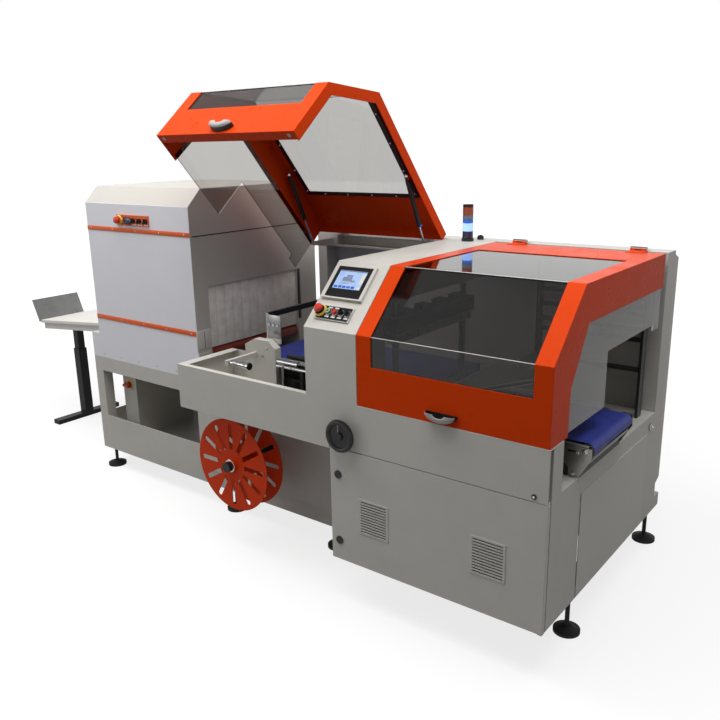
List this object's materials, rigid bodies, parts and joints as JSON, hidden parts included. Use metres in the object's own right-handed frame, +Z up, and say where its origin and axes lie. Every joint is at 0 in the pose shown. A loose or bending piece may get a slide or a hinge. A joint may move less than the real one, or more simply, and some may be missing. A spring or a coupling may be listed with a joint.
{
  "type": "l bar sealer",
  "caption": "Automatic L-bar film sealer with two hinged clear guards, control column, shrink tunnel and tilted outfeed table on a square-rail base.",
  "frame": {"origin": "centre of the underside of the front right levelling foot, on the floor", "axes": "+Z up, +X along the line against the product flow (the infeed end), +Y from the operator's side to the back"},
  "size_m": [4.0651, 1.3399, 2.0672],
  "materials": {
    "aluminium": "satin",
    "belt": "matte blue",
    "black_plastic": "matte",
    "chrome": "polished",
    "column_paint": "satin powder coat",
    "curtain": "matte",
    "foot_rubber": "matte",
    "frame_paint": "satin powder coat",
    "glazing": "smoked clear acrylic",
    "green_plastic": "gloss",
    "grey_plastic": "matte",
    "guard_paint": "satin orange powder coat",
    "jaw_black": "satin",
    "lamp": "banded lenses",
    "panel_paint": "satin powder coat",
    "red_plastic": "gloss",
    "reel_paint": "satin orange powder coat",
    "screen": "gloss",
    "steel": "brushed",
    "switch_red": "gloss",
    "table_paint": "satin",
    "tunnel_paint": "satin powder coat"
  },
  "bodies": {
    "machine": {"base_frame": "frame_paint", "sealer_frame": "frame_paint", "body_panels": "panel_paint", "apron_trough": "panel_paint", "control_column": "column_paint", "touchscreen": "screen", "control_plate": "black_plastic", "rear_cover": "panel_paint", "levelling_feet": "foot_rubber", "infeed_bed": "jaw_black", "infeed_belt": "belt", "seal_bed": "jaw_black", "seal_belt": "belt", "tail_rollers": "steel", "lower_seal_jaw": "aluminium", "film_guides": "steel", "folding_plates": "aluminium", "trim_guide": "panel_paint", "tower_light": "lamp", "reel_axle": "black_plastic", "tunnel_body": "tunnel_paint", "tunnel_plate": "black_plastic", "tunnel_belt": "belt", "electrical_box": "panel_paint", "table_legs": "jaw_black"},
    "front_door": {"cabinet_door": "panel_paint"},
    "upper_lock": {"door_lock_upper": "black_plastic"},
    "lower_lock": {"door_lock_lower": "black_plastic"},
    "infeed_guard": {"infeed_hood": "guard_paint", "infeed_hood_glazing": "glazing", "infeed_hood_handle": "black_plastic"},
    "infeed_tubes": {"infeed_hood_strut_tubes": "jaw_black"},
    "infeed_rods": {"infeed_hood_strut_rods": "chrome"},
    "sealing_guard": {"sealing_hood": "guard_paint", "sealing_hood_glazing": "glazing", "sealing_hood_handle": "black_plastic"},
    "sealing_tubes": {"sealing_hood_strut_tubes": "jaw_black"},
    "sealing_rods": {"sealing_hood_strut_rods": "chrome"},
    "emergency_stop": {"emergency_stop": "red_plastic"},
    "start_button": {"start_button": "green_plastic"},
    "stop_button": {"stop_button": "red_plastic"},
    "mode_selector": {"mode_selector": "black_plastic"},
    "speed_selector": {"speed_selector": "black_plastic"},
    "handwheel": {"handwheel": "black_plastic"},
    "scrap_reel": {"scrap_reel": "reel_paint"},
    "upper_jaw": {"upper_seal_jaw": "aluminium"},
    "infeed_roller": {"infeed_drive_roller": "steel"},
    "seal_roller": {"seal_drive_roller": "steel"},
    "tunnel_roller": {"tunnel_drive_roller": "steel"},
    "trim_roller": {"trim_roller": "black_plastic"},
    "tunnel_stop": {"tunnel_stop": "red_plastic"},
    "left_knob": {"tunnel_knob_left": "grey_plastic"},
    "middle_knob": {"tunnel_knob_middle": "grey_plastic"},
    "right_knob": {"tunnel_knob_right": "grey_plastic"},
    "main_switch": {"main_switch": "switch_red"},
    "entry_curtain": {"entry_curtain": "curtain"},
    "table_columns": {"table_risers": "jaw_black", "table_top": "table_paint"},
    "stop_plate": {"stop_plate": "aluminium"}
  },
  "joints": [
    {"name": "door_hinge", "type": "hinge", "parent": "machine", "child": "front_door", "pos_m": [0.035, -0.33, 0.43], "axis": [0, 0, 1], "range_deg": [0, 110]},
    {"name": "upper_lock_turn", "type": "hinge", "parent": "front_door", "child": "upper_lock", "pos_m": [-0.847, -0.34, 0.565], "axis": [0, 1, 0], "range_deg": [-90, 0]},
    {"name": "lower_lock_turn", "type": "hinge", "parent": "front_door", "child": "lower_lock", "pos_m": [-0.847, -0.34, 0.275], "axis": [0, 1, 0], "range_deg": [-90, 0]},
    {"name": "infeed_guard_hinge", "type": "hinge", "parent": "machine", "child": "infeed_guard", "pos_m": [-0.35, 0.752, 1.394], "axis": [1, 0, 0], "range_deg": [-49.5, 0]},
    {"name": "infeed_strut_swing", "type": "hinge", "parent": "infeed_guard", "child": "infeed_tubes", "pos_m": [-0.35, 0.322, 1.343], "axis": [1, 0, 0], "range_deg": [-14.22, 1]},
    {"name": "infeed_strut_stroke", "type": "slide", "parent": "infeed_tubes", "child": "infeed_rods", "axis": [0, 0.9992, -0.0395], "range_m": [-0.002, 0.11647]},
    {"name": "sealing_guard_hinge", "type": "hinge", "parent": "machine", "child": "sealing_guard", "pos_m": [-1.396, 0.752, 1.394], "axis": [1, 0, 0], "range_deg": [0, 49.5]},
    {"name": "sealing_strut_swing", "type": "hinge", "parent": "sealing_guard", "child": "sealing_tubes", "pos_m": [-1.396, 0.43396, 1.68785], "axis": [1, 0, 0], "range_deg": [-1, 14.22]},
    {"name": "sealing_strut_stroke", "type": "slide", "parent": "sealing_tubes", "child": "sealing_rods", "axis": [0, 0.4228, -0.9062], "range_m": [-0.11647, 0.002]},
    {"name": "emergency_stop_push", "type": "slide", "parent": "machine", "child": "emergency_stop", "axis": [0, 0.7071, -0.7071], "range_m": [0, 0.006]},
    {"name": "start_button_push", "type": "slide", "parent": "machine", "child": "start_button", "axis": [0, 0.7071, -0.7071], "range_m": [0, 0.003], "stiffness_N_per_m": 400},
    {"name": "stop_button_push", "type": "slide", "parent": "machine", "child": "stop_button", "axis": [0, 0.7071, -0.7071], "range_m": [0, 0.003], "stiffness_N_per_m": 400},
    {"name": "mode_selector_turn", "type": "hinge", "parent": "machine", "child": "mode_selector", "pos_m": [-0.849, -0.29192, 1.2114], "axis": [0, -0.7071, 0.7071], "range_deg": [-45, 45]},
    {"name": "speed_selector_turn", "type": "hinge", "parent": "machine", "child": "speed_selector", "pos_m": [-0.818, -0.29192, 1.2114], "axis": [0, -0.7071, 0.7071], "range_deg": [-45, 45]},
    {"name": "handwheel_turn", "type": "hinge", "parent": "machine", "child": "handwheel", "pos_m": [-0.807, -0.36, 0.747], "axis": [0, 1, 0], "continuous": true},
    {"name": "reel_turn", "type": "hinge", "parent": "machine", "child": "scrap_reel", "pos_m": [-1.522, -0.24, 0.421], "axis": [0, 1, 0], "continuous": true},
    {"name": "jaw_stroke", "type": "slide", "parent": "machine", "child": "upper_jaw", "axis": [0, 0, 1], "range_m": [-0.2635, 0]},
    {"name": "infeed_roller_turn", "type": "hinge", "parent": "machine", "child": "infeed_roller", "pos_m": [0.066, 0.112, 0.793], "axis": [0, 1, 0], "continuous": true},
    {"name": "seal_roller_turn", "type": "hinge", "parent": "machine", "child": "seal_roller", "pos_m": [-0.777, 0.34, 0.793], "axis": [0, 1, 0], "continuous": true},
    {"name": "tunnel_roller_turn", "type": "hinge", "parent": "machine", "child": "tunnel_roller", "pos_m": [-2.031, 0.397, 0.797], "axis": [0, 1, 0], "continuous": true},
    {"name": "trim_roller_turn", "type": "hinge", "parent": "machine", "child": "trim_roller", "pos_m": [-1.525, -0.207, 0.884], "axis": [1, 0, 0], "continuous": true},
    {"name": "tunnel_stop_push", "type": "slide", "parent": "machine", "child": "tunnel_stop", "axis": [0, 1, 0], "range_m": [0, 0.006]},
    {"name": "left_knob_turn", "type": "hinge", "parent": "machine", "child": "left_knob", "pos_m": [-2.435, -0.04, 1.474], "axis": [0, 1, 0], "range_deg": [-135, 135]},
    {"name": "middle_knob_turn", "type": "hinge", "parent": "machine", "child": "middle_knob", "pos_m": [-2.385, -0.04, 1.474], "axis": [0, 1, 0], "range_deg": [-135, 135]},
    {"name": "right_knob_turn", "type": "hinge", "parent": "machine", "child": "right_knob", "pos_m": [-2.335, -0.04, 1.474], "axis": [0, 1, 0], "range_deg": [-135, 135]},
    {"name": "main_switch_turn", "type": "hinge", "parent": "machine", "child": "main_switch", "pos_m": [-2.745, 0.05, 0.505], "axis": [0, 1, 0], "range_deg": [0, 90]},
    {"name": "curtain_swing", "type": "hinge", "parent": "machine", "child": "entry_curtain", "pos_m": [-2.0192, 0.397, 1.1519], "axis": [0, 1, 0], "range_deg": [-20, 60]},
    {"name": "table_height", "type": "slide", "parent": "machine", "child": "table_columns", "axis": [0, 0, 1], "range_m": [-0.15, 0.1]},
    {"name": "stop_plate_fold", "type": "hinge", "parent": "table_columns", "child": "stop_plate", "pos_m": [-3.9093, 0.39, 0.716], "axis": [0, 1, 0], "range_deg": [-60, 20]}
  ],
  "couplings": [
    {"joint": "infeed_strut_swing", "follows": "infeed_guard_hinge", "ratio": 0.26707},
    {"joint": "infeed_strut_stroke", "follows": "infeed_guard_hinge", "m_per_rad": -0.1325},
    {"joint": "sealing_strut_swing", "follows": "sealing_guard_hinge", "ratio": 0.26707},
    {"joint": "sealing_strut_stroke", "follows": "sealing_guard_hinge", "m_per_rad": -0.1325}
  ]
}
